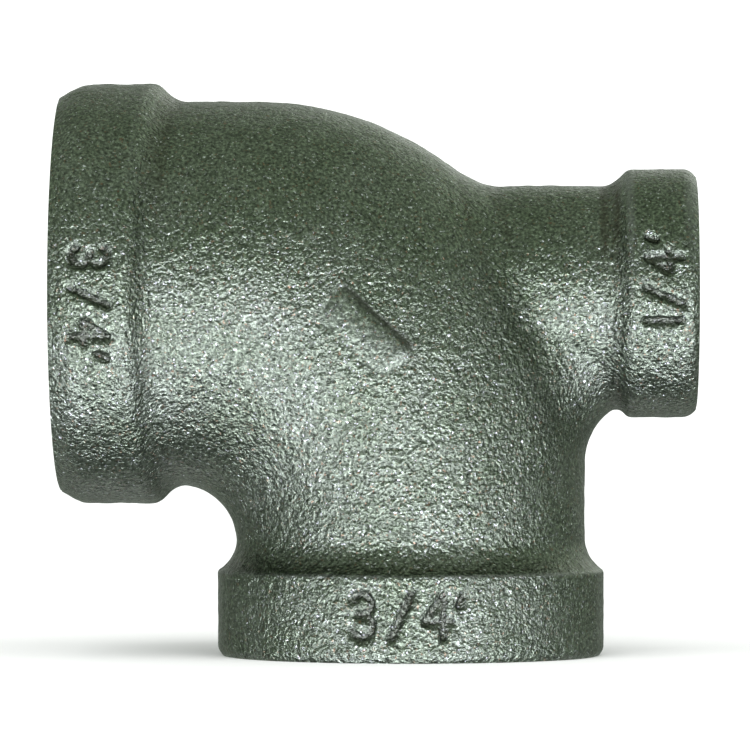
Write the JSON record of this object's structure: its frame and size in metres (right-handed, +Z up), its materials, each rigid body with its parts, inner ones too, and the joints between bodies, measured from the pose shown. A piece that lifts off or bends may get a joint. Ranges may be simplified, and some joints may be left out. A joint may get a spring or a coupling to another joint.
{
  "type": "reducing pipe tee",
  "caption": "Banded reducing pipe tee of cast iron: a curved body joins a large threaded run mouth to a branch mouth of the same size, with a smaller threaded mouth at the far end of the run.",
  "frame": {"origin": "centre of the bounding box's bottom: under the middle of the run, on the plane that the branch mouth stands on", "axes": "+X along the run towards its small end, -Y the side with the size figures, +Z up; the branch points down along -Z"},
  "size_m": [0.0598, 0.0394, 0.0538],
  "materials": {
    "cast_skin": "dark grey-green cast skin with a fine grain",
    "tapped_iron": "bare machined iron, slightly oily"
  },
  "bodies": {
    "root": {"tee_body": "cast_skin", "large_run_band": "cast_skin", "small_run_band": "cast_skin", "branch_band": "cast_skin", "large_run_thread": "tapped_iron", "small_run_thread": "tapped_iron", "branch_thread": "tapped_iron"}
  },
  "joints": []
}
